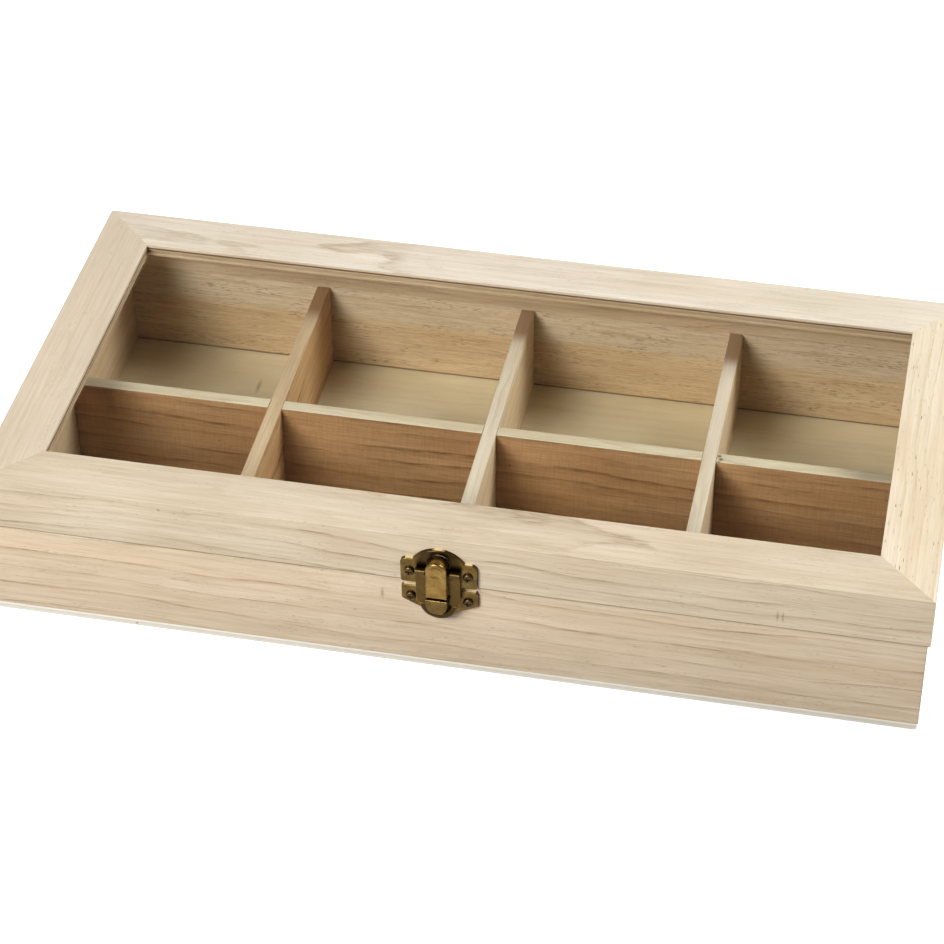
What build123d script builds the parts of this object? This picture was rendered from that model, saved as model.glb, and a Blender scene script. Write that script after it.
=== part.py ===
# A wooden stamp box with eight compartments, a hinged glass lid and a spring latch.
# Millimetres. X runs along the length, the front faces -Y, and the underside of the
# bottom panel lies on z = 0, below the middle of the lid.
import os
from math import cos, radians, sin

from build123d import *

os.makedirs("parts", exist_ok=True)

# Whole box
box_length = 330.0
box_depth = 165.0
box_height = 60.0
lid_height = 20.0
lid_overhang = 1.0          # lid past the base, at the front and at both ends
seam_gap = 0.25             # between lid and base when the lid is shut
edge_round = 0.6            # sanded wooden edges
overrun = 2.0               # how far a cut runs past the wood or metal

# Base
wall_thickness = 7.0
bottom_thickness = 3.0
bottom_inset = 0.4          # bottom panel inside the walls' outer faces

# Dividers
divider_thickness = 5.0
divider_drop = 0.75         # their tops below the walls' tops
divider_end_gap = 0.2
divider_slot_gap = 0.1
cross_divider_names = ["cross_divider_left", "cross_divider_middle", "cross_divider_right"]
long_divider_shift = 1.3    # behind the middle of the inside

# Lid frame and pane
rail_width = 20.0
rail_wall = 8.0             # rail thickness below its lip
lip_cover = 2.4             # wood over the pane
lip_ledge = 1.2             # wood under the pane
groove_depth = 5.0
glass_thickness = 2.0
glass_face_gap = 0.1
glass_edge_gap = 0.5

# Round-head cross-slot screws, the same for the latch and the hinges
screw_head_radius = 1.8
screw_head_height = 1.1
screw_head_round = 0.85
screw_shank_radius = 0.8
screw_shank_length = 6.0
screw_tip_chamfer = 0.5
screw_hole_gap = 0.1        # in the metal
screw_pilot_gap = 0.05      # in the wood
screw_slot_length = 2.2
screw_slot_width = 0.55
screw_slot_depth = 0.6

# Hinges
hinge_end_inset = 60.0      # each hinge's middle from its end of the lid
hinge_width = 20.0
hinge_leaf_thickness = 0.9
hinge_leaf_height = 7.6
hinge_knuckle_radius = 1.6
hinge_pin_radius = 0.75
hinge_pin_gap = 0.05
hinge_wood_gap = 0.3        # barrel to wood
hinge_knuckle_gap = 0.2     # between neighbouring knuckles
hinge_corner_round = 1.2
hinge_screw_offset = 6.3    # from the hinge's middle
hinge_knuckle_count = 3

# Latch, all heights from the wooden face that carries the plate
latch_shift = -0.9          # latch beside the middle of the front
latch_plate_thickness = 1.4
latch_edge_round = 0.45
latch_pin_radius = 0.6
latch_pin_gap = 0.05
latch_running_gap = 0.3     # moving to fixed metal

# Latch plate on the lid
top_plate_width = 26.6
top_plate_height = 10.4
top_plate_rise = 0.5        # its lower edge above the lid's lower edge
hump_width = 18.0
hump_height = 5.0
ear_round = 2.0
ear_low_round = 1.0
ear_screw_spacing = 20.3
ear_screw_rise = 5.2        # above the plate's lower edge
window_gap = 0.3            # round the thumb end, which swings into the window
window_rise = 1.25          # lower edge of the window above the pin
lug_spread = 2.2            # each lug's middle from the latch's middle
lug_thickness = 0.9
lug_radius = 1.2

# Spring lever of the latch
lever_swing = 11.0          # degrees, shut to released
lever_width = 15.4
lever_sheet = 0.7
lever_setback = 0.9         # back of the lever's sheet behind the pin's middle
lever_knuckle_radius = 1.25
lever_knuckle_length = 3.4
lever_drop = 6.7            # lower end of the lever below the lid's lower edge
pivot_rise = 7.3            # pin above the lid's lower edge
pill_width = 7.4
pill_rise = 4.4             # face of the pill over the back of the sheet
pill_drop = 1.6             # lower end of the pill below the lid's lower edge
pill_reach = 6.8            # top of the pill above the pin
pill_round = 0.9
pill_face_wall = 1.3        # metal in front of the pill's hollow
thumb_dish_radius = 2.7
thumb_dish_depth = 0.75
thumb_skirt_rise = 1.9      # lower end above the pin of the thumb end's deeper wall
thumb_wood_gap = 0.3        # thumb end to the wood when the lever is released

# Catch on the base
catch_width = 26.7
catch_height = 6.2          # straight height of its ears
catch_drop = 1.75           # its upper edge below the base's upper edge
catch_corner_round = 0.9
catch_bowl_radius = 6.9
catch_bowl_drop = 6.8       # middle of the bowl below the base's upper edge
catch_screw_spacing = 20.0
catch_screw_drop = 6.2
cup_rim_outer = 6.6
cup_rim_height = 2.5
cup_rim_round = 0.8
boss_width = 7.5
boss_drop = 2.25            # top of the boss below the base's upper edge
boss_straight = 2.45
boss_height = 5.9
boss_round = 0.6
boss_side_gap = 0.55        # boss to the lever's fork

# Levels
lid_bottom = box_height - lid_height
base_top = lid_bottom - seam_gap
divider_height = base_top - divider_drop - bottom_thickness
ledge_bottom = box_height - lip_cover - glass_thickness - 2 * glass_face_gap - lip_ledge
groove_bottom = ledge_bottom + lip_ledge
groove_height = glass_thickness + 2 * glass_face_gap

# Base, outside and inside
base_half_length = box_length / 2 - lid_overhang
base_front = -box_depth / 2 + lid_overhang
base_back = box_depth / 2
base_depth = base_back - base_front
base_middle = (base_front + base_back) / 2
inside_length = 2 * (base_half_length - wall_thickness)
inside_depth = base_depth - 2 * wall_thickness
wall_height = base_top - bottom_thickness

# Dividers
cross_spacing = (inside_length + divider_thickness) / (len(cross_divider_names) + 1)
cross_middle = (len(cross_divider_names) - 1) / 2
cross_places = [(i - cross_middle) * cross_spacing for i in range(len(cross_divider_names))]
long_divider_y = base_middle + long_divider_shift
slot_width = divider_thickness + 2 * divider_slot_gap
slot_middle = bottom_thickness + divider_height / 2

# Hinge line, and where the hinges and their leaves start
hinge_offset = box_length / 2 - hinge_end_inset
hinge_axis_y = base_back + hinge_wood_gap + hinge_knuckle_radius
hinge_axis_z = base_top + seam_gap / 2
hinge_leaf_start = hinge_knuckle_radius + hinge_wood_gap
hinge_screw_reach = hinge_leaf_start + hinge_leaf_height / 2
knuckle_pitch = hinge_width / hinge_knuckle_count

# Latch pin and lever
pivot_out = latch_plate_thickness + latch_running_gap + lever_knuckle_radius
pivot_y = -box_depth / 2 - pivot_out
pivot_z = lid_bottom + pivot_rise
pill_arch_v = pivot_rise + pill_reach - pill_width / 2
fork_half = boss_width / 2 + boss_side_gap
pin_hole_radius = latch_pin_radius + latch_pin_gap
released = radians(lever_swing)
skirt_setback = (pivot_out - thumb_wood_gap - pill_reach * sin(released)) / cos(released)

# Faces that carry the metal: local x along the face, local y up, outwards is +
lid_front_face = Plane((latch_shift, -box_depth / 2, lid_bottom), (1, 0, 0), (0, -1, 0))
base_front_face = Plane((latch_shift, base_front, base_top), (1, 0, 0), (0, -1, 0))

# Screw places on those faces
top_screw_v = top_plate_rise + ear_screw_rise
top_screw_places = [(side * ear_screw_spacing / 2, top_screw_v) for side in (-1, 1)]
catch_screw_places = [(side * catch_screw_spacing / 2, -catch_screw_drop) for side in (-1, 1)]
hinge_middles = {"hinge_left": -hinge_offset, "hinge_right": hinge_offset}
hinge_faces = {
    name: Plane((x, base_back, hinge_axis_z), (-1, 0, 0), (0, 1, 0))
    for name, x in hinge_middles.items()
}
leaf_screw_places = {
    "lid": [(side * hinge_screw_offset, hinge_screw_reach) for side in (-1, 1)],
    "base": [(side * hinge_screw_offset, -hinge_screw_reach) for side in (-1, 1)],
}

# Rectangles that hang from their place or stand on it
below = (Align.CENTER, Align.MAX)
above = (Align.CENTER, Align.MIN)


def save(piece, label):
    """Label a finished piece and write its STEP file."""
    piece.label = label
    export_step(piece, f"parts/{label}.step")


def bore(face, places, radius, depth):
    """Cut blind round holes into the current piece, from a face inwards."""
    with BuildSketch(face.offset(overrun)) as mouths:
        with Locations(places):
            Circle(radius)
    extrude(mouths.sketch, amount=-(depth + overrun), mode=Mode.SUBTRACT)


def pilot_holes(face, places, plate_thickness):
    """Cut the pilot holes of screws that hold a plate of this thickness."""
    depth = screw_shank_length - plate_thickness + screw_pilot_gap
    bore(face, places, screw_shank_radius + screw_pilot_gap, depth)


def make_screws(label, face, places, plate_thickness):
    """Make the round-head screws that hold one plate on one face."""
    seat = face.offset(plate_thickness)
    outwards = Axis(seat.origin, seat.z_dir)
    with BuildPart() as screws:
        with BuildSketch(seat):
            with Locations(places):
                Circle(screw_head_radius)
        extrude(amount=screw_head_height)
        fillet(screws.faces().group_by(outwards)[-1].edges(), screw_head_round)
        with BuildSketch(seat.offset(screw_head_height)):
            with Locations(places):
                Rectangle(screw_slot_length, screw_slot_width)
                Rectangle(screw_slot_width, screw_slot_length)
        extrude(amount=-screw_slot_depth, mode=Mode.SUBTRACT)
        with BuildSketch(seat):
            with Locations(places):
                Circle(screw_shank_radius)
        extrude(amount=-screw_shank_length)
        chamfer(screws.faces().group_by(outwards)[0].edges(), screw_tip_chamfer)
    save(screws.part, label)


# Bottom panel
with BuildPart() as bottom_panel:
    with BuildSketch():
        with Locations((0, base_middle)):
            Rectangle(2 * (base_half_length - bottom_inset), base_depth - 2 * bottom_inset)
    extrude(amount=bottom_thickness)
save(bottom_panel.part, "bottom_panel")

# Front wall, with the catch's pilot holes
with BuildPart() as front_wall:
    with BuildSketch(Plane.XY.offset(bottom_thickness)):
        with Locations((0, base_front + wall_thickness / 2)):
            Rectangle(2 * base_half_length, wall_thickness)
    extrude(amount=wall_height)
    corners = front_wall.edges().filter_by(Axis.Z).group_by(Axis.Y)[0]
    fillet(corners, edge_round)
    pilot_holes(base_front_face, catch_screw_places, latch_plate_thickness)
save(front_wall.part, "front_wall")

# Back wall, with the hinges' pilot holes
with BuildPart() as back_wall:
    with BuildSketch(Plane.XY.offset(bottom_thickness)):
        with Locations((0, base_back - wall_thickness / 2)):
            Rectangle(2 * base_half_length, wall_thickness)
    extrude(amount=wall_height)
    corners = back_wall.edges().filter_by(Axis.Z).group_by(Axis.Y)[-1]
    fillet(corners, edge_round)
    for face in hinge_faces.values():
        pilot_holes(face, leaf_screw_places["base"], hinge_leaf_thickness)
save(back_wall.part, "back_wall")

# End walls, butted between the front and back walls
for label, side in (("left_wall", -1), ("right_wall", 1)):
    with BuildPart() as end_wall:
        with BuildSketch(Plane.XY.offset(bottom_thickness)):
            with Locations((side * (base_half_length - wall_thickness / 2), base_middle)):
                Rectangle(wall_thickness, inside_depth)
        extrude(amount=wall_height)
    save(end_wall.part, label)

# Long divider, slotted from the top for the cross dividers
with BuildPart() as long_divider:
    with BuildSketch(Plane.XY.offset(bottom_thickness)):
        with Locations((0, long_divider_y)):
            Rectangle(inside_length - 2 * divider_end_gap, divider_thickness)
    extrude(amount=divider_height)
    with BuildSketch(Plane.XY.offset(slot_middle)):
        with Locations([(x, long_divider_y) for x in cross_places]):
            Rectangle(slot_width, divider_thickness + 2 * overrun)
    extrude(amount=divider_height, mode=Mode.SUBTRACT)
save(long_divider.part, "long_divider")

# Cross dividers, slotted from below so that their tops run through
for label, x in zip(cross_divider_names, cross_places):
    with BuildPart() as cross_divider:
        with BuildSketch(Plane.XY.offset(bottom_thickness)):
            with Locations((x, base_middle)):
                Rectangle(divider_thickness, inside_depth - 2 * divider_end_gap)
        extrude(amount=divider_height)
        with BuildSketch(Plane.XY.offset(slot_middle + divider_slot_gap)):
            with Locations((x, long_divider_y)):
                Rectangle(divider_thickness + 2 * overrun, slot_width)
        extrude(amount=-divider_height, mode=Mode.SUBTRACT)
    save(cross_divider.part, label)


def make_rail(label, plane, length, faces_and_places, plate_thickness):
    """Make one mitred lid rail: local x along it, local y from its outer face inwards."""
    half = length / 2
    with BuildPart() as rail:
        with BuildSketch(plane):
            Polygon(
                (-half, 0),
                (half, 0),
                (half - rail_width, rail_width),
                (rail_width - half, rail_width),
                align=None,
            )
        extrude(amount=lid_height)
        outer_top = rail.edges().group_by(Axis.Z)[-1].sort_by(Edge.length)[-1]
        fillet(outer_top, edge_round)
        with BuildSketch(plane):
            with Locations((0, rail_width)):
                Rectangle(length, 2 * (rail_width - rail_wall))
        extrude(amount=ledge_bottom - lid_bottom, mode=Mode.SUBTRACT)
        with BuildSketch(plane.offset(groove_bottom - lid_bottom)):
            with Locations((0, rail_width)):
                Rectangle(length, 2 * groove_depth)
        extrude(amount=groove_height, mode=Mode.SUBTRACT)
        for face, places in faces_and_places:
            pilot_holes(face, places, plate_thickness)
    save(rail.part, label)


# Lid rails, each with the pilot holes of what it carries
front_rail_plane = Plane((0, -box_depth / 2, lid_bottom), (1, 0, 0), (0, 0, 1))
back_rail_plane = Plane((0, box_depth / 2, lid_bottom), (-1, 0, 0), (0, 0, 1))
left_rail_plane = Plane((-box_length / 2, 0, lid_bottom), (0, -1, 0), (0, 0, 1))
right_rail_plane = Plane((box_length / 2, 0, lid_bottom), (0, 1, 0), (0, 0, 1))
latch_holes = [(lid_front_face, top_screw_places)]
hinge_holes = [(face, leaf_screw_places["lid"]) for face in hinge_faces.values()]
make_rail("lid_front_rail", front_rail_plane, box_length, latch_holes, latch_plate_thickness)
make_rail("lid_back_rail", back_rail_plane, box_length, hinge_holes, hinge_leaf_thickness)
make_rail("lid_left_rail", left_rail_plane, box_depth, [], latch_plate_thickness)
make_rail("lid_right_rail", right_rail_plane, box_depth, [], latch_plate_thickness)

# Glass pane, in the rails' grooves
pane_margin = rail_width - groove_depth + glass_edge_gap
with BuildPart() as glass_pane:
    with BuildSketch(Plane.XY.offset(groove_bottom + glass_face_gap)):
        Rectangle(box_length - 2 * pane_margin, box_depth - 2 * pane_margin)
    extrude(amount=glass_thickness)
save(glass_pane.part, "glass_pane")


def knuckle_spans(mine):
    """The starts along the hinge of one leaf's knuckles: the base's outer, the lid's inner."""
    first = 0 if mine == "base" else 1
    return [i * knuckle_pitch - hinge_width / 2 for i in range(first, hinge_knuckle_count, 2)]


def make_leaf(name, owner):
    """Make one hinge leaf with its knuckles, drilled for the pin and the screws."""
    up = 1 if owner == "lid" else -1
    middle = hinge_middles[name]
    face = hinge_faces[name]
    with BuildPart() as leaf:
        with BuildSketch(face) as blank:
            with Locations((0, up * hinge_screw_reach)):
                Rectangle(hinge_width, hinge_leaf_height)
            far_corners = blank.vertices().group_by(Axis.Y)[-1 if up > 0 else 0]
            fillet(far_corners, hinge_corner_round)
        extrude(amount=hinge_leaf_thickness)
        for start in knuckle_spans(owner):
            knuckle_start = middle + start + hinge_knuckle_gap / 2
            end_face = Plane((knuckle_start, hinge_axis_y, hinge_axis_z), (0, 1, 0), (1, 0, 0))
            with BuildSketch(end_face):
                Circle(hinge_knuckle_radius)
                with Locations((base_back - hinge_axis_y, 0)):
                    Rectangle(
                        hinge_leaf_thickness,
                        hinge_leaf_start + hinge_corner_round,
                        align=(Align.MIN, Align.MIN if up > 0 else Align.MAX),
                    )
            extrude(amount=knuckle_pitch - hinge_knuckle_gap)
        bore_face = Plane((middle, hinge_axis_y, hinge_axis_z), (0, 1, 0), (1, 0, 0))
        with BuildSketch(bore_face):
            Circle(hinge_pin_radius + hinge_pin_gap)
        extrude(amount=hinge_width, both=True, mode=Mode.SUBTRACT)
        bore(face.offset(hinge_leaf_thickness), leaf_screw_places[owner],
             screw_shank_radius + screw_hole_gap, hinge_leaf_thickness + overrun)
    save(leaf.part, f"{name}_{owner}_leaf")


# Hinges
for name, middle in hinge_middles.items():
    for owner in ("base", "lid"):
        make_leaf(name, owner)
        make_screws(f"{name}_{owner}_screws", hinge_faces[name], leaf_screw_places[owner],
                    hinge_leaf_thickness)
    with BuildPart() as hinge_pin:
        with BuildSketch(Plane((middle, hinge_axis_y, hinge_axis_z), (0, 1, 0), (1, 0, 0))):
            Circle(hinge_pin_radius)
        extrude(amount=hinge_width / 2, both=True)
    save(hinge_pin.part, f"{name}_pin")

# Latch plate on the lid: eared plate with a hump, a window behind the thumb end, two lugs
top_plate_top = top_plate_rise + top_plate_height
window_half = pill_width / 2 + window_gap
with BuildPart() as latch_top_plate:
    with BuildSketch(lid_front_face) as outline:
        with Locations((0, top_plate_rise + top_plate_height / 2)):
            Rectangle(top_plate_width, top_plate_height)
        fillet(outline.vertices().group_by(Axis.Y)[-1], ear_round)
        fillet(outline.vertices().group_by(Axis.Y)[0], ear_low_round)
        with BuildLine():
            hump = ThreePointArc(
                (-hump_width / 2, top_plate_top),
                (0, top_plate_top + hump_height),
                (hump_width / 2, top_plate_top),
            )
            Line(hump @ 1, hump @ 0)
        make_face()
    extrude(amount=latch_plate_thickness)
    front = latch_top_plate.faces().sort_by(Axis.Y)[0]
    fillet(front.edges(), latch_edge_round)
    with BuildSketch(lid_front_face.offset(-overrun)):
        with Locations((0, pill_arch_v)):
            Circle(window_half)
            Rectangle(2 * window_half, window_half, align=below)
        with Locations((0, pivot_rise + window_rise)):
            Rectangle(2 * window_half, pill_reach, align=below, mode=Mode.SUBTRACT)
    extrude(amount=latch_plate_thickness + 2 * overrun, mode=Mode.SUBTRACT)
    for side in (-1, 1):
        lug_x = latch_shift + side * lug_spread - lug_thickness / 2
        with BuildSketch(Plane((lug_x, pivot_y, pivot_z), (0, 1, 0), (1, 0, 0))):
            Circle(lug_radius)
            Rectangle(pivot_out - latch_plate_thickness / 2, 2 * lug_radius,
                      align=(Align.MIN, Align.CENTER))
            Circle(pin_hole_radius, mode=Mode.SUBTRACT)
        extrude(amount=lug_thickness)
    bore(lid_front_face.offset(latch_plate_thickness), top_screw_places,
         screw_shank_radius + screw_hole_gap, latch_plate_thickness + overrun)
save(latch_top_plate.part, "latch_top_plate")
make_screws("latch_top_screws", lid_front_face, top_screw_places, latch_plate_thickness)

# Latch pin, through the lugs and the lever
with BuildPart() as latch_pin:
    with BuildSketch(Plane((latch_shift, pivot_y, pivot_z), (0, 1, 0), (1, 0, 0))):
        Circle(latch_pin_radius)
    extrude(amount=lever_width / 2, both=True)
save(latch_pin.part, "latch_pin")

# Spring lever: two wings that fork round the boss, with a hollow pill between them
lever_back = lid_front_face.offset(pivot_out - lever_setback)
skirt_back = lid_front_face.offset(pivot_out - skirt_setback)
pill_inner_half = pill_width / 2 - lever_sheet
with BuildPart() as latch_lever:
    with BuildSketch(lever_back):
        with Locations((0, -pill_drop)):
            Rectangle(pill_width, pill_arch_v + pill_drop, align=above)
        with Locations((0, pill_arch_v)):
            Circle(pill_width / 2)
    extrude(amount=pill_rise)
    pill_face = latch_lever.faces().sort_by(Axis.Y)[0]
    fillet(pill_face.edges(), pill_round)
    with BuildSketch(skirt_back):
        with Locations((0, pill_arch_v)):
            Circle(pill_width / 2)
            Rectangle(pill_width, pill_width / 2, align=below)
        with Locations((0, pivot_rise + thumb_skirt_rise)):
            Rectangle(pill_width, pill_reach, align=below, mode=Mode.SUBTRACT)
    extrude(amount=skirt_setback - lever_setback)
    with BuildSketch(lever_back):
        with Locations((0, -lever_drop)):
            Rectangle(lever_width, lever_drop + pivot_rise, align=above)
    extrude(amount=lever_sheet)
    for side in (-1, 1):
        knuckle_x = latch_shift + side * (lever_width - lever_knuckle_length) / 2
        knuckle_plane = Plane((knuckle_x, pivot_y, pivot_z), (0, 1, 0), (1, 0, 0))
        with BuildSketch(knuckle_plane):
            Circle(lever_knuckle_radius)
        extrude(amount=lever_knuckle_length / 2, both=True)
    # the fork's slot, open below
    with BuildSketch(lever_back.offset(-overrun)):
        with Locations((0, -pill_drop - boss_side_gap)):
            Rectangle(2 * fork_half, lever_drop, align=below)
    extrude(amount=lever_sheet + 2 * overrun, mode=Mode.SUBTRACT)
    # the pill's hollow
    with BuildSketch(skirt_back.offset(-overrun)):
        with Locations((0, -pill_drop - overrun)):
            Rectangle(2 * pill_inner_half, pill_arch_v + pill_drop + overrun, align=above)
        with Locations((0, pill_arch_v)):
            Circle(pill_inner_half)
    hollow_depth = skirt_setback - lever_setback + pill_rise - pill_face_wall
    extrude(amount=hollow_depth + overrun, mode=Mode.SUBTRACT)
    # the shallow dish for the thumb
    thumb_sphere = (thumb_dish_radius**2 + thumb_dish_depth**2) / (2 * thumb_dish_depth)
    with Locations(lever_back.offset(pill_rise + thumb_sphere - thumb_dish_depth)):
        with Locations((0, pill_arch_v)):
            Sphere(thumb_sphere, mode=Mode.SUBTRACT)
    with BuildSketch(Plane((latch_shift, pivot_y, pivot_z), (0, 1, 0), (1, 0, 0))):
        Circle(pin_hole_radius)
    extrude(amount=lever_width, both=True, mode=Mode.SUBTRACT)
save(latch_lever.part, "latch_lever")

# Catch on the base: eared plate with a bowl below, its rim and the boss
boss_middle_v = -boss_drop - boss_straight
with BuildPart() as latch_catch_plate:
    with BuildSketch(base_front_face) as catch_outline:
        with Locations((0, -catch_drop)):
            Rectangle(catch_width, catch_height, align=below)
        with Locations((0, -catch_bowl_drop)):
            Circle(catch_bowl_radius)
        make_hull()
        with Locations((0, -catch_drop)):
            Rectangle(catch_width, catch_bowl_radius, align=above, mode=Mode.SUBTRACT)
        columns = catch_outline.vertices().group_by(Axis.X)
        fillet(columns[0] + columns[-1], catch_corner_round)
    extrude(amount=latch_plate_thickness)
    fillet(latch_catch_plate.faces().sort_by(Axis.Y)[0].edges(), latch_edge_round)
    with BuildSketch(base_front_face.offset(latch_plate_thickness)):
        with Locations((0, -catch_bowl_drop)):
            Circle(cup_rim_outer)
            Circle(fork_half, mode=Mode.SUBTRACT)
            Rectangle(2 * cup_rim_outer, cup_rim_outer, align=above, mode=Mode.SUBTRACT)
    extrude(amount=cup_rim_height)
    fillet(latch_catch_plate.faces().sort_by(Axis.Y)[0].edges(), cup_rim_round)
    with BuildSketch(base_front_face.offset(latch_plate_thickness)):
        with Locations((0, boss_middle_v)):
            Circle(boss_width / 2)
            Rectangle(boss_width, boss_width, align=above, mode=Mode.SUBTRACT)
            Rectangle(boss_width, boss_straight, align=above)
    extrude(amount=boss_height)
    fillet(latch_catch_plate.faces().sort_by(Axis.Y)[0].edges(), boss_round)
    bore(base_front_face.offset(latch_plate_thickness), catch_screw_places,
         screw_shank_radius + screw_hole_gap, latch_plate_thickness + overrun)
save(latch_catch_plate.part, "latch_catch_plate")
make_screws("latch_catch_screws", base_front_face, catch_screw_places, latch_plate_thickness)
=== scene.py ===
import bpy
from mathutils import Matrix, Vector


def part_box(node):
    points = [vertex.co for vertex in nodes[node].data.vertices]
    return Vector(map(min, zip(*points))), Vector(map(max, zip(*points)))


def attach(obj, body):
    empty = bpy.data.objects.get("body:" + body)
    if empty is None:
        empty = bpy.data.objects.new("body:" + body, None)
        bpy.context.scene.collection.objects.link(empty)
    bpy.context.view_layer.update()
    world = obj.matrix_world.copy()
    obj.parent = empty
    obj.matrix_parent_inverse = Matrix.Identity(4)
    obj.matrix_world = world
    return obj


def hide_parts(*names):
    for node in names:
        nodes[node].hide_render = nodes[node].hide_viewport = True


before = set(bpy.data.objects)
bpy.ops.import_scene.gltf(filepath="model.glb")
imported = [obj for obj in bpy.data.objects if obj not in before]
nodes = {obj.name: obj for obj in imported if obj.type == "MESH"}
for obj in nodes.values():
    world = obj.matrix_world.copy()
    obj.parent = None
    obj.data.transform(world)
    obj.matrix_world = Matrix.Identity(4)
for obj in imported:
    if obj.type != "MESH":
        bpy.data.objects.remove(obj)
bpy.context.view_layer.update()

import math

import bmesh
import bpy
from mathutils import Matrix, Vector, noise

scene = bpy.context.scene
MM = 0.001
WHITE = (1.0, 1.0, 1.0, 1.0)


# Colours and shader nodes

def srgb(r, g, b):
    """A colour of 0 to 255 as the linear colour that shaders take."""
    return tuple(((c / 255 + 0.055) / 1.055) ** 2.4 for c in (r, g, b)) + (1.0,)


class Tree:
    """The shader nodes of a material or a world, and short calls that add to them."""

    def __init__(self, owner):
        owner.use_nodes = True
        self.nodes = owner.node_tree.nodes
        self.links = owner.node_tree.links

    def put(self, socket, value):
        """Link an output to the socket, or set the socket to a constant."""
        if isinstance(value, bpy.types.NodeSocket):
            self.links.new(value, socket)
        else:
            socket.default_value = value

    def math(self, kind, *values):
        node = self.nodes.new("ShaderNodeMath")
        node.operation = kind
        for socket, value in zip(node.inputs, values):
            self.put(socket, value)
        return node.outputs[0]

    def plus(self, a, b):
        return self.math("ADD", a, b)

    def minus(self, a, b):
        return self.math("SUBTRACT", a, b)

    def times(self, a, b):
        return self.math("MULTIPLY", a, b)

    def vector(self, kind, *values):
        node = self.nodes.new("ShaderNodeVectorMath")
        node.operation = kind
        for socket, value in zip(node.inputs, values):
            self.put(socket, value)
        return node.outputs["Value" if kind == "LENGTH" else "Vector"]

    def split(self, vector):
        """The three parts of a vector."""
        node = self.nodes.new("ShaderNodeSeparateXYZ")
        self.put(node.inputs[0], vector)
        return node.outputs

    def joined(self, x, y, z):
        """A vector of three parts."""
        node = self.nodes.new("ShaderNodeCombineXYZ")
        for socket, value in zip(node.inputs, (x, y, z)):
            self.put(socket, value)
        return node.outputs[0]

    def noise(self, vector, scale=1.0, detail=2.0, rough=0.5):
        node = self.nodes.new("ShaderNodeTexNoise")
        self.put(node.inputs["Vector"], vector)
        node.inputs["Scale"].default_value = scale
        node.inputs["Detail"].default_value = detail
        node.inputs["Roughness"].default_value = rough
        return node.outputs[0]

    def spread(self, value, low, high, to_low=0.0, to_high=1.0):
        """value from low..high to to_low..to_high, held at its ends."""
        node = self.nodes.new("ShaderNodeMapRange")
        for socket, v in zip(node.inputs, (value, low, high, to_low, to_high)):
            self.put(socket, v)
        return node.outputs[0]

    def ramp(self, value, stops):
        """value turned into greys, each stop a (place, grey)."""
        node = self.nodes.new("ShaderNodeValToRGB")
        self.put(node.inputs[0], value)
        marks = node.color_ramp.elements
        while len(marks) < len(stops):
            marks.new(0.5)
        for mark, (place, grey) in zip(marks, stops):
            mark.position = place
            mark.color = (grey, grey, grey, 1)
        return node.outputs[0]

    def mix(self, share, a, b, kind="MIX"):
        node = self.nodes.new("ShaderNodeMix")
        node.data_type = "RGBA"
        node.blend_type = kind
        self.put(node.inputs[0], share)
        self.put(node.inputs[6], a)
        self.put(node.inputs[7], b)
        return node.outputs[2]

    def stained(self, colour, where, amount, tint):
        """The colour with up to amount of a tint over it, where the mask is above 0."""
        return self.mix(self.times(where, amount), colour, tint)

    def near(self, place, middle, reach, full, edge=1.0):
        """1 up to the share full of the reach from middle along each axis, 0 past edge."""
        away = self.vector("MULTIPLY", self.vector("SUBTRACT", place, middle),
                           tuple(1 / length for length in reach))
        return self.spread(self.vector("LENGTH", away), full, edge, 1.0, 0.0)

    def millimetres(self):
        """Places on the object, in millimetres."""
        node = self.nodes.new("ShaderNodeTexCoord")
        return self.vector("MULTIPLY", node.outputs["Object"], (1000, 1000, 1000))


class Material(Tree):
    """A material and its main shader."""

    def __init__(self, name):
        self.material = bpy.data.materials.new(name)
        super().__init__(self.material)
        self.shader = self.nodes["Principled BSDF"]

    def set(self, socket, value):
        """Set one of the shader's sockets, or link to it."""
        self.put(self.shader.inputs[socket], value)

    def bump(self, height, strength, distance):
        node = self.nodes.new("ShaderNodeBump")
        node.inputs["Strength"].default_value = strength
        node.inputs["Distance"].default_value = distance
        self.put(node.inputs["Height"], height)
        self.set("Normal", node.outputs[0])


# Wood, cut from a log whose growth rings run round a pith line

BOARD_STEP = 517.0  # mm along the log from one seed's board to the next
LONG_WAVES = 2.2    # the most that a ring strays in its long waves, in units of warp


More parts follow.
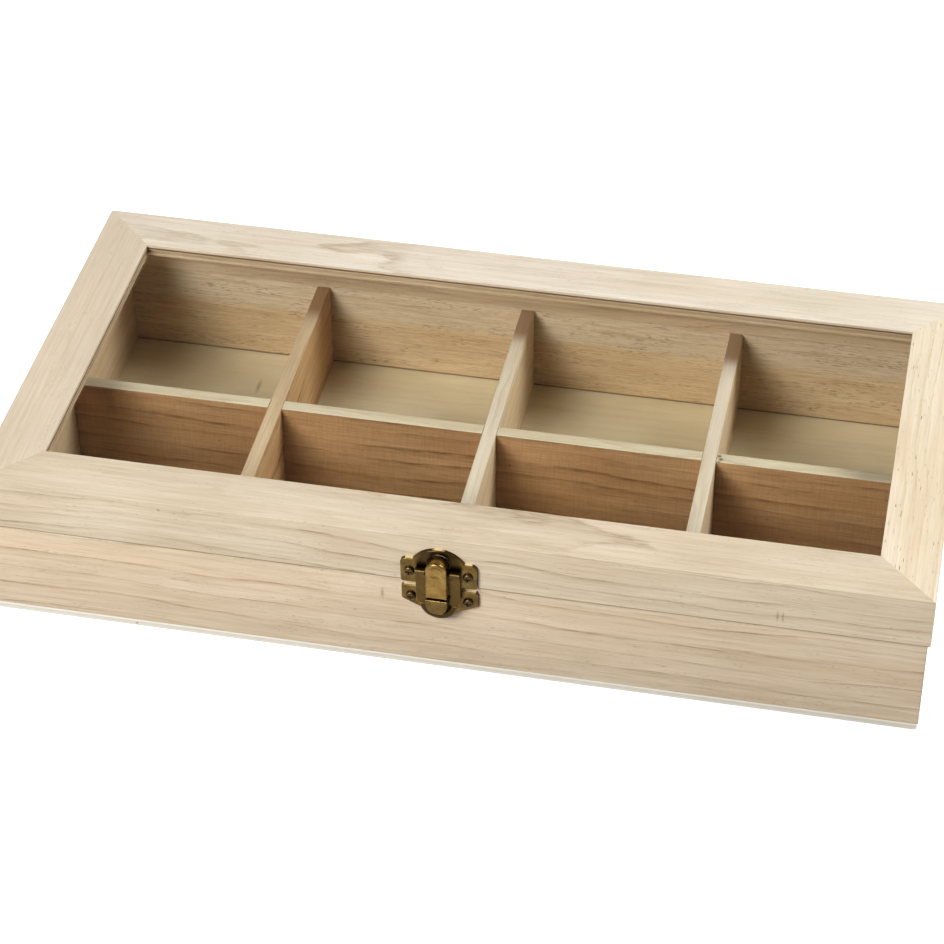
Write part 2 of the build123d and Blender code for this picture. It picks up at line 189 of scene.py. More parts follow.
def wood(name, along, pith, tilt, ring, pale, deep, line, strength, seed,
         warp=2.0, late=0.2, fine=(0.5, 0.5), pores=0.35, pit=(2.2, 0.26, 0.66), saw=0.0,
         spots=(), bands=(), ends=()):
    """A board of one log, in millimetres.

    along is the grain's axis, pith the log's middle across it, tilt its slope, ring the
    width of a growth ring and warp how far the rings stray. pale and deep are the colours
    of the wood, line that of rings and fibres, and strength the rings' amount. late is the
    dark share of a ring, fine the amounts of fibres and of streaks, pores the pores' amount,
    pit a pore's length, width and rarity, and saw the amount of saw marks. spots are dark
    flecks, each (x, y, z, reach, reach upwards, amount). bands tint a range of height, each
    (lowest, highest, softness, tint, amount), and ends all that lies beyond a place along
    the grain, each (place, softness, tint, amount)."""
    t = Material(name)
    place = t.millimetres()
    parts = t.split(place)
    run, a, b = (parts[i] for i in {"X": (0, 1, 2), "Y": (1, 0, 2)}[along])
    g = t.plus(run, seed * BOARD_STEP)

    def stretched(length, width, detail=2.0, rough=0.5):
        """Noise drawn out along the grain: one lump is about length by width mm."""
        lumps = t.joined(t.math("DIVIDE", g, length), t.math("DIVIDE", a, width),
                         t.math("DIVIDE", b, width))
        return t.noise(lumps, 1.0, detail, rough)

    def strayed(distance, size, *lump, detail=2.0):
        """The distance, up to size mm more or less."""
        return t.plus(distance, t.times(t.minus(stretched(*lump, detail=detail), 0.5), 2 * size))

    # distance from the pith, with the long waves and the small wobble of real rings
    off_a = t.minus(t.minus(a, pith[0]), t.times(run, tilt[0]))
    off_b = t.minus(t.minus(b, pith[1]), t.times(run, tilt[1]))
    radius = t.math("SQRT", t.plus(t.times(off_a, off_a), t.times(off_b, off_b)))
    radius = strayed(radius, warp * LONG_WAVES, 95, 34)
    radius = strayed(radius, 0.45, 16, 7, detail=3)
    radius = strayed(radius, 0.28, 6, 1.6)
    turns = t.math("DIVIDE", radius, ring)
    uneven = t.nodes.new("ShaderNodeTexNoise")
    uneven.noise_dimensions = "1D"
    uneven.inputs["Scale"].default_value = 0.45
    t.put(uneven.inputs["W"], t.plus(turns, seed))
    turns = t.plus(turns, t.times(uneven.outputs[0], 1.6))

    # rings and the fainter rings between them, which fade and break off, and loose hairs
    rings = t.ramp(t.math("FRACT", turns), [
        (0, 0.0), (1 - late * 2.5, 0.05), (1 - late, 0.25), (1 - late / 2, 0.6),
        (1 - late / 4, 1.0), (1, 0.0)])
    faint = t.ramp(t.math("FRACT", t.times(turns, 3.0)), [
        (0, 0.0), (0.7, 0.1), (0.93, 0.5), (1, 0.0)])
    fading = t.spread(stretched(48, 10), 0.38, 0.66, 0.25, 1.0)
    broken = t.spread(stretched(8, 0.7, detail=3), 0.35, 0.6, 0.35, 1.0)
    hairs = t.spread(stretched(30, 0.8, detail=3, rough=0.6), 0.56, 0.7)
    marks = t.times(t.plus(t.times(rings, fading), t.times(faint, 0.3)), broken)
    marks = t.math("MAXIMUM", marks, t.times(hairs, 0.42))

    # fibres, pores and patches
    fibres = stretched(14, 0.45, detail=3, rough=0.65)
    streaks = stretched(60, 1.8, detail=3)
    patches = t.spread(stretched(55, 16), 0.32, 0.68)
    pore_length, pore_width, rarity = pit
    pits = t.spread(stretched(pore_length, pore_width, detail=1), rarity, rarity + 0.08)
    sparse = t.spread(stretched(26, 5), 0.45, 0.62)
    pits = t.times(pits, t.plus(t.times(sparse, 0.8), 0.2))

    colour = t.mix(patches, pale, deep)
    for low, high, soft, tint, amount in bands:
        inside = t.times(t.spread(b, low - soft, low + soft),
                         t.spread(b, high - soft, high + soft, 1.0, 0.0))
        colour = t.stained(colour, inside, amount, tint)
    for start, soft, tint, amount in ends:
        colour = t.stained(colour, t.spread(run, start - soft, start + soft), amount, tint)
    rosy = t.spread(stretched(80, 9), 0.42, 0.68)
    colour = t.mix(t.times(rosy, 0.5), colour, (1.0, 0.93, 0.9, 1), "MULTIPLY")
    colour = t.stained(colour, t.spread(streaks, 0.35, 0.68), fine[1] * 0.4, line)
    colour = t.stained(colour, t.spread(fibres, 0.42, 0.7), fine[0] * 0.4, line)
    colour = t.stained(colour, marks, strength, line)
    dark = tuple(c * 0.42 for c in line[:3]) + (1.0,)
    colour = t.stained(colour, pits, pores, dark)
    height = t.minus(fibres, t.times(pits, 1.4))
    if saw:
        teeth = t.joined(t.math("DIVIDE", g, 0.8), 0.0, t.math("DIVIDE", b, 9.0))
        cuts = t.spread(t.noise(teeth), 0.4, 0.65)
        colour = t.stained(colour, cuts, saw, line)
        height = t.minus(height, t.times(cuts, 0.8))
    for x, y, z, across, upwards, amount in spots:
        fleck = t.near(place, (x, y, z), (across, across, upwards), 0.35)
        ragged = t.spread(stretched(1.1, 1.1), 0.3, 0.55, 0.35, 1.0)
        colour = t.stained(colour, t.times(fleck, ragged), amount, dark)
    t.set("Base Color", colour)
    t.set("Roughness", t.spread(streaks, 0.3, 0.7, 0.62, 0.78))
    t.set("Specular IOR Level", 0.28)
    t.bump(height, 0.35, 0.00012)
    return t.material


# Building meshes

SMOOTH_ANGLE = math.radians(35)
NEAR_FACE = 0.2 * MM    # how far off a side of its board a face may lie and count as part of it


def finished(name, bm, material, body, replaced):
    """The mesh as a piece of the box: named, shaded, and riding on its body."""
    bmesh.ops.recalc_face_normals(bm, faces=bm.faces)
    mesh = bpy.data.meshes.new(name)
    bm.to_mesh(mesh)
    bm.free()
    for face in mesh.polygons:
        face.use_smooth = True
    mesh.set_sharp_from_angle(angle=SMOOTH_ANGLE)
    piece = bpy.data.objects.new(name, mesh)
    scene.collection.objects.link(piece)
    mesh.materials.append(material)
    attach(piece, body)
    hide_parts(replaced)
    return piece


def ease_edges(bm, ease, segments):
    """Take the sharpness off all edges, ease metres deep."""
    bmesh.ops.bevel(bm, geom=bm.edges[:], offset=ease, segments=segments, profile=0.5,
                    affect="EDGES")


def eased_box(node, ease):
    """A board with eased edges, the size of a node's box."""
    low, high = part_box(node)
    bm = bmesh.new()
    bmesh.ops.create_cube(bm, size=1)
    for v in bm.verts:
        v.co = Vector(low[i] + (v.co[i] + 0.5) * (high[i] - low[i]) for i in range(3))
    ease_edges(bm, ease, segments=3)
    return bm


def board(node, material, ease):
    return finished(node + "_board", eased_box(node, ease), material, "base", node)


def wall(node, inner_material, outer_material, inward, ease):
    """A wall of the base. It was sanded after gluing, so all but its inner face is paler."""
    bm = eased_box(node, ease)
    low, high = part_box(node)
    middle = (low + high) / 2
    half = (high - low).dot(Vector(abs(c) for c in inward)) / 2
    for face in bm.faces:
        if (face.calc_center_median() - middle).dot(inward) < half - NEAR_FACE:
            face.material_index = 1
    piece = finished(node + "_board", bm, inner_material, "base", node)
    piece.data.materials.append(outer_material)


def rounded(corners, steps):
    """An outline with each (x, y, radius) corner turned into an arc."""
    points = []
    for i, (x, y, radius) in enumerate(corners):
        here = Vector((x, y))
        to_last = (Vector(corners[i - 1][:2]) - here).normalized()
        to_next = (Vector(corners[(i + 1) % len(corners)][:2]) - here).normalized()
        if radius == 0:
            points.append(here)
            continue
        start, end = here + to_last * radius, here + to_next * radius
        for k in range(steps + 1):
            share = k / steps
            points.append(start * (1 - share) ** 2 + here * 2 * share * (1 - share)
                          + end * share ** 2)
    return points


def shrunk(points, amount):
    """The outline moved inwards."""
    out = []
    for i, p in enumerate(points):
        side = (points[(i + 1) % len(points)] - points[i - 1]).normalized()
        out.append(p + Vector((-side.y, side.x)) * amount)
    return out


def closed_tube(rings):
    """A mesh that joins rings of points with quads and closes both ends."""
    bm = bmesh.new()
    loops = [[bm.verts.new(p) for p in ring] for ring in rings]
    for one, two in zip(loops, loops[1:]):
        for i in range(len(one)):
            j = (i + 1) % len(one)
            bm.faces.new((one[i], one[j], two[j], two[i]))
    bm.faces.new(loops[0][::-1])
    bm.faces.new(loops[-1])
    return bm


# Mitred lid rails: a lip over the pane, a groove that holds it and a ledge below

LIP, PANE, LEDGE = 2.4 * MM, 2.2 * MM, 1.2 * MM     # heights, from the top down
RAIL_WALL, GROOVE = 8 * MM, 5 * MM                  # depths, across the rail
STATION = 3.44 * MM         # from one ring of points to the next
MITRE_EASE = 0.14 * MM      # how far the rings of points stay off the mitre
END_EASE = 0.02 * MM        # how far the two end ones do
END_SHRINK = 0.11 * MM      # how far the outline of those two is drawn in
SAW_DEPTH = 0.5 * MM        # how deep into the lip and the ledge the saw strayed
STRAIGHT_TOP = 1.0 * MM     # the upper part of the lip, where it didn't
SAW_WAVES = (               # rates along, per seed and up, and the amount
    (260, 7.3, 90, 0.16 * MM),
    (900, 3.1, 300, 0.07 * MM),
)
INWARD = {
    "lid_front_rail": Vector((0, 1)),
    "lid_back_rail": Vector((0, -1)),
    "lid_left_rail": Vector((1, 0)),
    "lid_right_rail": Vector((-1, 0)),
}


def rail(node, material, outer_material, cut_material, seed):
    """A rail: its top, its outer face, and the sawn faces of its lip, groove and ledge."""
    low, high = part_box(node)
    size = high - low
    length = max(size.x, size.y)
    width = min(size.x, size.y)
    height = size.z
    inward = INWARD[node]
    along = Vector((abs(inward.y), abs(inward.x)))
    outer = ((low + high) / 2).xy - inward * width / 2
    lip_low = height - LIP
    ledge_top = lip_low - PANE
    ledge_low = ledge_top - LEDGE
    outline = rounded([
        (0, 0, 0.3 * MM),
        (RAIL_WALL, 0, 0.25 * MM),
        (RAIL_WALL, ledge_low, 0.2 * MM),
        (width, ledge_low, 0.2 * MM),
        (width, ledge_top, 0.15 * MM),
        (width - GROOVE, ledge_top, 0),
        (width - GROOVE, lip_low, 0),
        (width, lip_low, 0.22 * MM),
        (width, height, 0.32 * MM),
        (0, height, 0.6 * MM),
    ], steps=4)

    def sawn(u, p):
        """How far the saw strayed: it left the lip's and the ledge's edges uneven."""
        if p.x <= width - SAW_DEPTH or not ledge_low < p.y < height - STRAIGHT_TOP:
            return 0
        return sum(noise.noise(Vector((u * along_rate, seed * seed_rate, p.y * up_rate))) * amount
                   for along_rate, seed_rate, up_rate, amount in SAW_WAVES)

    stations = round(length / STATION)
    rings = []
    for k in range(stations + 1):
        at_end = k in (0, stations)
        ring = []
        for p in shrunk(outline, END_SHRINK) if at_end else outline:
            half = length / 2 - p.x
            limit = half - (END_EASE if at_end else MITRE_EASE)
            u = max(-limit, min(limit, (2 * k / stations - 1) * half))
            shake = sawn(u, p)
            at = outer + along * u + inward * (p.x + shake)
            ring.append((at.x, at.y, low.z + p.y + shake * 0.6))
        rings.append(ring)
    bm = closed_tube(rings)

    # the outer face below its rounded upper edge, and the sawn faces below the lip's
    for face in bm.faces:
        middle = face.calc_center_median()
        depth = (middle.xy - outer).dot(inward)
        if depth < 0.35 * MM and middle.z < high.z - 0.7 * MM:
            face.material_index = 1
        elif depth > RAIL_WALL - NEAR_FACE and middle.z < high.z - 0.45 * MM:
            face.material_index = 2
    piece = finished(node + "_board", bm, material, "lid", node)
    piece.data.materials.append(outer_material)
    piece.data.materials.append(cut_material)


# Dividers, halved together where they cross

SLOT_GAP = 0.1 * MM
DIVIDER_EASE = 0.22 * MM
TOP_WOOD_DEPTH = 0.1 * MM       # how far below the upper edge a face may lie and take the upper edge's wood


def slotted_divider(node, crossing, from_top, material, top_material):
    """An upright board with a slot, half its height, for each board that crosses it.
    Its upper edge has a paler wood than its sides."""
    low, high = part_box(node)
    run = 0 if high.x - low.x > high.y - low.y else 1
    across = 1 - run
    middle = (low.z + high.z) / 2
    cuts = sorted((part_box(other)[0][run] - SLOT_GAP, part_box(other)[1][run] + SLOT_GAP)
                  for other in crossing)
    edge, other_edge = (high.z, low.z) if from_top else (low.z, high.z)
    outline = [(low[run], edge)]
    for start, end in cuts:
        outline += [(start, edge), (start, middle), (end, middle), (end, edge)]
    outline += [(high[run], edge), (high[run], other_edge), (low[run], other_edge)]
    bm = bmesh.new()
    sides = []
    for depth in (low[across], high[across]):
        ring = []
        for u, z in outline:
            co = [0.0, 0.0, z]
            co[run] = u
            co[across] = depth
            ring.append(bm.verts.new(co))
        sides.append(ring)
        bm.faces.new(ring)
    for i in range(len(outline)):
        j = (i + 1) % len(outline)
        bm.faces.new((sides[0][i], sides[0][j], sides[1][j], sides[1][i]))
    bmesh.ops.recalc_face_normals(bm, faces=bm.faces)
    ease_edges(bm, DIVIDER_EASE, segments=2)
    for face in bm.faces:
        if face.calc_center_median().z > high.z - TOP_WOOD_DEPTH:
            face.material_index = 1
    piece = finished(node + "_board", bm, material, "base", node)
    piece.data.materials.append(top_material)


# Woods of the base

wood_front = wood(
    "WoodFrontWall", "X", (-60, -150), (0.0, -0.012), 8.5,
    srgb(227, 210, 184), srgb(218, 200, 172), srgb(158, 128, 96), 0.9, 1,
    warp=2.6, pores=0.5, spots=((-21.3, -81.5, 31.5, 0.75, 3.4, 0.45),))
wood_back = wood(
    "WoodBackWall", "X", (190, -60), (0.0, -0.02), 7.0,
    srgb(215, 191, 151), srgb(205, 178, 135), srgb(124, 88, 50), 0.35, 2,
    fine=(1.0, 0.3), pores=0.6, pit=(2.8, 0.36, 0.585),
    # the first band is painted light: the wall's upper part is paler and greyer
    bands=((25.5, 60, 1.2, srgb(207, 190, 160), 0.8),
           (2.0, 3.8, 0.25, srgb(92, 62, 34), 0.85)))
wood_back_outside = wood(
    "WoodBackOutside", "X", (90, -70), (0.0, 0.015), 8.0,
    srgb(226, 210, 184), srgb(217, 199, 171), srgb(158, 130, 98), 0.85, 17,
    warp=2.6, pores=0.5)
wood_side_outside = wood(
    "WoodSideOutside", "Y", (210, -40), (0.0, 0.02), 7.5,
    srgb(226, 210, 184), srgb(217, 199, 171), srgb(158, 130, 98), 0.8, 18, pores=0.5)
wood_left = wood(
    "WoodLeftWall", "Y", (-260, 10), (0.0, 0.0), 7.0,
    srgb(210, 188, 154), srgb(200, 176, 140), srgb(146, 114, 78), 0.55, 3)
wood_right = wood(
    "WoodRightWall", "Y", (260, 30), (0.0, 0.0), 7.5,
    srgb(216, 198, 168), srgb(206, 186, 152), srgb(150, 120, 86), 0.55, 4)
wood_long = wood(
    "WoodLongDivider", "X", (-60, -60), (0.0, -0.025), 5.5,
    srgb(188, 149, 103), srgb(169, 128, 82), srgb(86, 54, 28), 1.0, 5,
    late=0.34, pores=0.6, saw=0.14)
wood_cross_warm = wood(
    "WoodCrossDividerWarm", "Y", (-190, -20), (0.0, 0.08), 6.0,
    srgb(208, 175, 126), srgb(193, 153, 103), srgb(118, 78, 44), 0.9, 6)
wood_cross_pale = wood(
    "WoodCrossDividerPale", "Y", (170, -40), (0.0, 0.03), 8.0,
    srgb(224, 206, 170), srgb(214, 192, 156), srgb(146, 114, 76), 0.55, 7)
wood_top_along = wood(
    "WoodDividerTopAlong", "X", (30, -80), (0.03, 0.0), 5.0,
    srgb(212, 203, 176), srgb(201, 190, 160), srgb(149, 124, 91), 0.6, 8,
    spots=((83.2, 2.7, 39.0, 1.1, 1.1, 0.95), (84.0, 1.0, 39.0, 1.2, 1.2, 0.95),
           (83.3, -0.5, 38.8, 0.9, 0.9, 0.9)))
# the ends in the two woods below are painted shadow: the tops darken towards the back wall, under
# the lid's back rail
wood_top_across = wood(
    "WoodDividerTopAcross", "Y", (60, -90), (0.05, 0.0), 5.0,
    srgb(214, 203, 182), srgb(204, 191, 167), srgb(153, 128, 97), 0.45, 9,
    ends=((57.5, 3.0, srgb(166, 130, 92), 0.9),))
wood_top_warm = wood(
    "WoodDividerTopWarm", "Y", (60, -90), (0.05, 0.0), 5.0,
    srgb(203, 181, 148), srgb(190, 167, 133), srgb(143, 111, 76), 0.6, 10,
    ends=((57.5, 3.0, srgb(158, 118, 78), 0.9),))


# Woods of the lid

# The front rail's top and outer face are one board in two tones: the top is painted darker than
# the face, as shade against the stronger light on the top.
wood_lid_front = wood(
    "WoodLidFront", "X", (-70, -30), (0.0, -0.02), 6.5,
    srgb(208, 196, 174), srgb(198, 184, 160), srgb(146, 122, 93), 0.9, 11,
    warp=3.2, late=0.28, pores=0.5)
wood_lid_face = wood(
    "WoodLidFace", "X", (-70, -30), (0.0, -0.02), 6.5,
    srgb(227, 214, 189), srgb(217, 201, 175), srgb(160, 132, 100), 0.9, 11,
    # the band is a painted shadow: a dark strip along the face's lower edge, at the seam with the
    # base
    warp=3.2, pores=0.5, bands=((30, 40.45, 0.2, srgb(112, 86, 58), 0.7),),
    spots=((113.9, -82.5, 45.4, 0.5, 3.2, 0.45), (115.7, -82.5, 45.0, 0.5, 3.2, 0.45),
           (-98.7, -82.5, 57.1, 0.8, 0.8, 0.45)))
wood_lid_back = wood(
    "WoodLidBack", "X", (60, -90), (0.05, 0.02), 6.0,
    srgb(218, 210, 195), srgb(209, 200, 182), srgb(156, 134, 104), 0.8, 12,
    warp=3.0, pores=0.5)
wood_lid_left = wood(
    "WoodLidLeft", "Y", (-150, -120), (0.10, 0.0), 7.0,
    srgb(208, 195, 175), srgb(199, 186, 164), srgb(156, 132, 104), 0.65, 13,
    warp=3.0, pores=0.5)
wood_lid_right = wood(
    "WoodLidRight", "Y", (90, 10), (0.0, 0.0), 4.2,
    srgb(220, 210, 190), srgb(211, 197, 170), srgb(170, 144, 104), 0.6, 14,
    pores=1.0, pit=(4.5, 0.5, 0.66))


def cut_wood(name, along, seed):
    """The rails' sawn inner faces. The lip is pale above a dark line, which is a painted shadow
    of the gap by the pane.
    """
    return wood(
        name, along, (20, 20), (0.02, 0.0), 3.0,
        srgb(216, 194, 160), srgb(202, 178, 142), srgb(126, 96, 64), 0.55, seed, pores=0.6,
        # painted shadow: the dark line on the lip, by the pane
        bands=((58.15, 58.85, 0.12, srgb(62, 44, 30), 0.9),
               (58.95, 61, 0.12, srgb(224, 211, 188), 0.7)))


wood_cut_along = cut_wood("WoodLidCutAlong", "X", 15)
wood_cut_across = cut_wood("WoodLidCutAcross", "Y", 16)


# Plywood, glass and brass

PLY = 1.0        # thickness of a ply, mm
SMUDGES = (      # x, y, z, reach along each axis, amount
    (-102.3, 54.5, 3, (1.1, 5.5, 1), 0.5),
    (-111.4, -81.1, 1.2, (0.7, 0.7, 0.6), 0.7),
)


def plywood(name):
    """Birch-like plywood: a smooth veneer, and its plies on the panel's edge."""
    t = Material(name)
    place = t.millimetres()
    long_grain = t.vector("MULTIPLY", place, (1 / 40, 1 / 2.2, 1 / 3))
    short_grain = t.vector("MULTIPLY", place, (1 / 9, 1 / 0.4, 1 / 0.4))
    cloud = t.spread(t.noise(t.vector("MULTIPLY", place, (0.02, 0.03, 0.1))), 0.35, 0.65)
    colour = t.mix(cloud, srgb(230, 217, 182), srgb(220, 205, 167))
    streaks = t.spread(t.noise(long_grain, detail=3), 0.4, 0.7)
    colour = t.stained(colour, streaks, 0.22, srgb(194, 174, 132))
    fibres = t.noise(short_grain, detail=3)
    colour = t.stained(colour, t.spread(fibres, 0.55, 0.75), 0.18, srgb(150, 124, 84))

    # the middle ply is darker, and thin glue lines part the plies
    height = t.split(place)[2]
    ply = t.math("FRACT", t.math("DIVIDE", height, PLY))
    glue = t.spread(t.math("ABSOLUTE", t.minus(ply, 0.5)), 0.42, 0.5)
    core = t.times(t.spread(height, 0.9 * PLY, 1.1 * PLY),
                   t.spread(height, 1.9 * PLY, 2.1 * PLY, 1.0, 0.0))
    edge_colour = t.mix(core, srgb(236, 232, 222), srgb(222, 214, 198))
    edge_colour = t.stained(edge_colour, glue, 0.5, srgb(176, 160, 132))
    facing = t.split(t.nodes.new("ShaderNodeNewGeometry").outputs["Normal"])
    on_edge = t.spread(t.math("ABSOLUTE", facing[2]), 0.2, 0.6, 1.0, 0.0)
    colour = t.mix(on_edge, colour, edge_colour)
    for x, y, z, reach, amount in SMUDGES:
        smudge = t.near(place, (x, y, z), reach, 0.2)
        colour = t.stained(colour, smudge, amount, srgb(96, 78, 58))
    t.set("Base Color", colour)
    t.set("Roughness", 0.6)
    t.set("Specular IOR Level", 0.3)
    t.bump(fibres, 0.2, 0.00008)
    return t.material


def glass(name):
    """Clear window glass. Lamps shine straight through it, as through a thin pane."""
    t = Material(name)
    t.set("Base Color", (0.995, 1.0, 0.995, 1))
    t.set("Roughness", 0.0)
    t.set("IOR", 1.5)
    t.set("Transmission Weight", 1.0)
    clear = t.nodes.new("ShaderNodeBsdfTransparent")
    clear.inputs[0].default_value = (0.975, 0.98, 0.975, 1)
    rays = t.nodes.new("ShaderNodeLightPath").outputs
    join = t.nodes.new("ShaderNodeMixShader")
    t.put(join.inputs[0], t.math("MAXIMUM", rays["Is Shadow Ray"], rays["Is Diffuse Ray"]))
    t.put(join.inputs[1], t.shader.outputs[0])
    t.put(join.inputs[2], clear.outputs[0])
    t.put(t.nodes["Material Output"].inputs["Surface"], join.outputs[0])
    return t.material


def brass(name, bright, patina, roughness, seed, dark=(), painted_highlight_behind=None):
    """Antique brass: brushed metal under a brown patina that lies unevenly, and thickest
    in the dark places, each (x, z, half width, half height, outermost y, amount) in mm.
    Its faces that look straight up, deeper than a given place on the y axis in mm, get a painted
    highlight: pale and dull, in place of shine."""
    t = Material(name)
    here = t.millimetres()
    place = t.vector("ADD", here, (seed * 31.0, seed * 17.0, 0))
    clouds = t.spread(t.noise(place, 0.28, 3), 0.34, 0.68)
    specks = t.spread(t.noise(place, 2.4, 3, 0.6), 0.5, 0.72)
    brushed = t.noise(t.vector("MULTIPLY", place, (9.0, 9.0, 0.5)), detail=3)
    worn = t.plus(t.times(clouds, 0.55), t.times(specks, 0.45))
    colour = t.mix(worn, bright, patina)
    colour = t.stained(colour, t.spread(brushed, 0.35, 0.7), 0.25, patina)
    outwards = t.split(here)[1]
    for x, z, half_width, half_height, outermost, amount in dark:
        patch = t.near(here, (x, 0, z), (half_width, math.inf, half_height), 0.86, 1.06)
        deep_set = t.spread(outwards, outermost - 0.2, outermost + 0.2)
        colour = t.stained(colour, t.times(patch, deep_set), amount, srgb(58, 43, 22))
    t.set("Metallic", 1.0)
    # painted highlight: faces that look straight up turn pale and dull, as if lit from above
    if painted_highlight_behind:
        facing = t.split(t.nodes.new("ShaderNodeTexCoord").outputs["Normal"])
        upper = t.times(t.spread(facing[2], 0.975, 0.998),
                        t.spread(outwards, painted_highlight_behind - 0.2, painted_highlight_behind + 0.2, 0.0, 0.85))
        colour = t.mix(upper, colour, srgb(250, 232, 180))
        t.set("Metallic", t.spread(upper, 0.0, 1.0, 1.0, 0.1))
    t.set("Base Color", colour)
    t.set("Roughness", t.spread(worn, 0.0, 1.0, roughness, roughness + 0.16))
    t.bump(t.plus(t.times(brushed, 0.5), t.times(specks, -0.5)), 0.12, 0.00005)
    return t.material


# Base

CROSS = ["cross_divider_left", "cross_divider_middle", "cross_divider_right"]

board("bottom_panel", plywood("Plywood"), 0.25 * MM)
board("front_wall", wood_front, 0.45 * MM)
wall("back_wall", wood_back, wood_back_outside, Vector((0, -1, 0)), 0.45 * MM)
wall("left_wall", wood_left, wood_side_outside, Vector((1, 0, 0)), 0.35 * MM)
wall("right_wall", wood_right, wood_side_outside, Vector((-1, 0, 0)), 0.35 * MM)
slotted_divider("long_divider", CROSS, True, wood_long, wood_top_along)
slotted_divider(CROSS[0], ["long_divider"], False, wood_cross_warm, wood_top_warm)
slotted_divider(CROSS[1], ["long_divider"], False, wood_cross_pale, wood_top_across)
slotted_divider(CROSS[2], ["long_divider"], False, wood_cross_pale, wood_top_across)

# Lid

rail("lid_front_rail", wood_lid_front, wood_lid_face, wood_cut_along, 1)
rail("lid_back_rail", wood_lid_back, wood_lid_back, wood_cut_along, 2)
rail("lid_left_rail", wood_lid_left, wood_lid_left, wood_cut_across, 3)
rail("lid_right_rail", wood_lid_right, wood_lid_right, wood_cut_across, 4)

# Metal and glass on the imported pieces

LATCH_X = -0.9     # middle of the latch, mm
KNUCKLE = 6.2      # the lever's knuckles from that middle, mm

hump_field = (LATCH_X, 48.5, 8.3, 9.5, -84.4, 0.9)
catch_bowl = (LATCH_X, 33.0, 6.7, 6.7, -86.0, 0.9)
wings = (LATCH_X, 42.0, 9.0, 20.0, -86.2, 0.75)
knuckles = tuple((LATCH_X + side * KNUCKLE, 47.5, 2.6, 2.0, -88.5, 0.8) for side in (-1, 1))
metal = {
    # the plate carries a painted highlight on its faces that look up
    "plate": brass("BrassPlate", srgb(117, 95, 53), srgb(63, 48, 23), 0.26, 1,
                   dark=(hump_field, catch_bowl), painted_highlight_behind=-84.3),
    "lever": brass("BrassLever", srgb(148, 120, 66), srgb(94, 72, 34), 0.24, 2,
                   dark=(wings,) + knuckles),
    "hinge": brass("BrassHinge", srgb(146, 126, 84), srgb(92, 76, 46), 0.3, 3),
    "screw": brass("DarkScrew", srgb(92, 74, 48), srgb(50, 38, 22), 0.3, 4),
}
pane_glass = glass("ClearGlass")
for name, node in nodes.items():
    if node.hide_render:    # one of the boards above stands for it
        continue
    if name == "glass_pane":
        material = pane_glass
    elif "screws" in name:
        material = metal["screw"]
    elif name.startswith("hinge"):
        material = metal["hinge"]
    elif name in ("latch_lever", "latch_pin"):
        material = metal["lever"]
    else:
        material = metal["plate"]
    node.data.materials.clear()
    node.data.materials.append(material)


# Studio: floor, room and lamps

def studio_floor():
    """A floor that looks near white, to the eye and in the latch, and throws back as much
    light as a grey table, so that the faces keep the photograph's contrast."""
    t = Material("Floor")
    rays = t.nodes.new("ShaderNodeLightPath").outputs
    direct = t.math("MAXIMUM", rays["Is Camera Ray"], t.times(rays["Is Glossy Ray"], 0.8))
    t.set("Base Color", t.mix(direct, (0.3, 0.3, 0.3, 1), (0.9, 0.9, 0.9, 1)))
    t.set("Roughness", 0.9)
    t.set("Specular IOR Level", 0.0)
    t.set("Emission Color", WHITE)
    far_off = t.spread(t.vector("LENGTH", t.millimetres()), 500, 1500, 0.35, 1.0)
    t.set("Emission Strength", t.times(direct, far_off))
    bm = bmesh.new()
    bmesh.ops.create_grid(bm, x_segments=2, y_segments=2, size=6.0)
    mesh = bpy.data.meshes.new("floor")
    bm.to_mesh(mesh)
    bm.free()
    floor = bpy.data.objects.new("floor", mesh)
    mesh.materials.append(t.material)
    scene.collection.objects.link(floor)


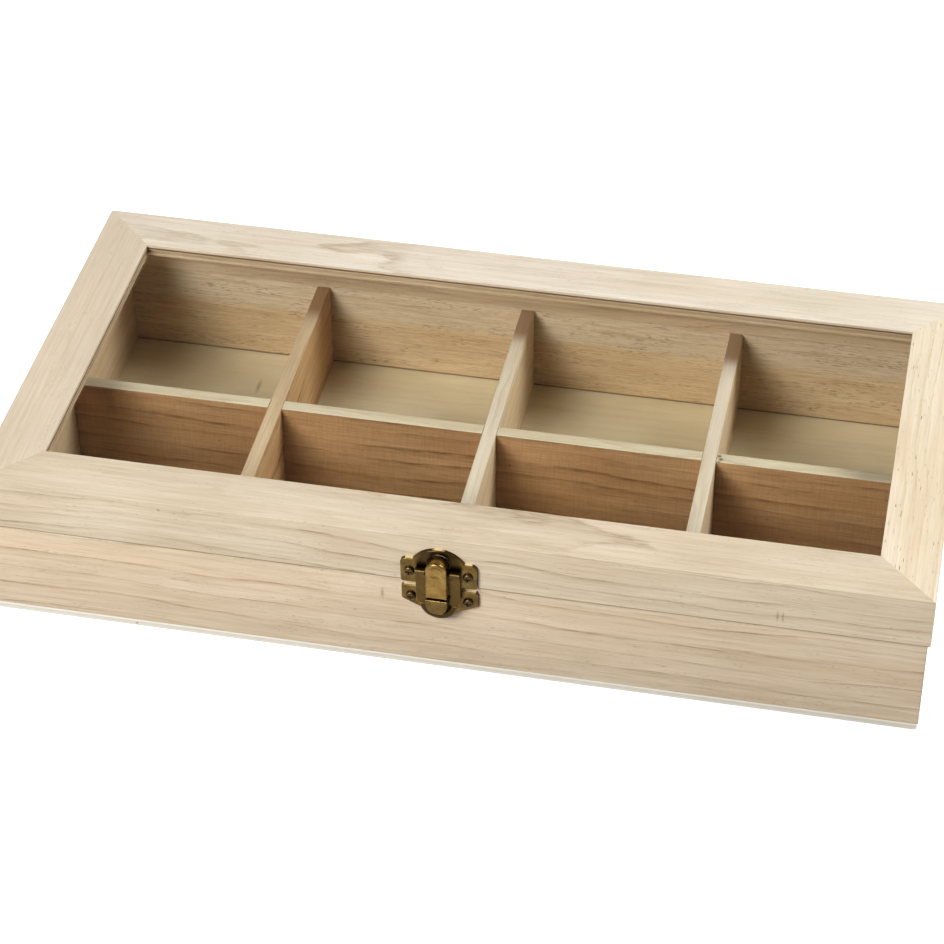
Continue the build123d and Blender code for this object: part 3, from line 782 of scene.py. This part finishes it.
def studio_room():
    """A room that is white where it is seen directly and pale in front of the box, where
    the latch mirrors it. As a light it is faint and a little warm."""
    scene.world = bpy.data.worlds.new("Studio")
    t = Tree(scene.world)
    rays = t.nodes.new("ShaderNodeLightPath").outputs
    towards = t.split(t.nodes.new("ShaderNodeTexCoord").outputs["Generated"])
    in_front = t.spread(towards[1], 0.1, -0.25, 0.0, 0.5)
    bright = t.math("MAXIMUM", rays["Is Camera Ray"], t.times(rays["Is Glossy Ray"], in_front))
    background = t.nodes["Background"].inputs
    t.put(background["Color"], t.mix(bright, (1.0, 0.9, 0.74, 1), WHITE))
    t.put(background["Strength"], t.spread(bright, 0.0, 1.0, 0.08, 1.0))


def lamp(name, place, size, power):
    """A square soft light that faces the box's middle, in metres and watts."""
    light = bpy.data.lights.new(name, "AREA")
    light.size = size
    light.energy = power
    lamp_object = bpy.data.objects.new(name, light)
    lamp_object.location = place
    aim = Vector((0, 0, 0.03)) - Vector(place)
    lamp_object.rotation_euler = aim.to_track_quat("-Z", "Y").to_euler()
    scene.collection.objects.link(lamp_object)


studio_floor()
studio_room()
lamp("key", (-0.50, -0.93, 0.84), 0.6, 19.5)
lamp("side", (0.90, 0.35, 0.90), 0.6, 15.5)
lamp("left", (-1.30, 0.10, 0.95), 0.7, 2.0)
lamp("back", (-0.35, 1.35, 0.45), 0.5, 3.0)


# Camera, fitted to the box's straight edges in the photograph

AZIMUTH, ELEVATION, ROLL = (math.radians(angle) for angle in (11.866, 39.978, -0.627))
LOOKED_AT = Vector((-5.526, -5.010, 25.0)) * MM
DISTANCE = 1.05406          # metres
PHOTO_WIDTH = 944           # pixels
FOCAL_LENGTH = 2903.42      # pixels
SENSOR = 36                 # millimetres

view_line = Vector((-math.sin(AZIMUTH) * math.cos(ELEVATION),
                    math.cos(AZIMUTH) * math.cos(ELEVATION), -math.sin(ELEVATION)))
level = Vector((math.cos(AZIMUTH), math.sin(AZIMUTH), 0))
upright = level.cross(view_line)
right = level * math.cos(ROLL) + upright * math.sin(ROLL)
up = -level * math.sin(ROLL) + upright * math.cos(ROLL)
camera_data = bpy.data.cameras.new("camera")
camera_data.lens = FOCAL_LENGTH / PHOTO_WIDTH * SENSOR
camera_data.sensor_width = SENSOR
camera_data.clip_end = 50
camera = bpy.data.objects.new("camera", camera_data)
turn = Matrix((right, up, -view_line)).transposed().to_4x4()
camera.matrix_world = Matrix.Translation(LOOKED_AT - view_line * DISTANCE) @ turn
scene.collection.objects.link(camera)
scene.camera = camera
scene.view_settings.view_transform = "Standard"
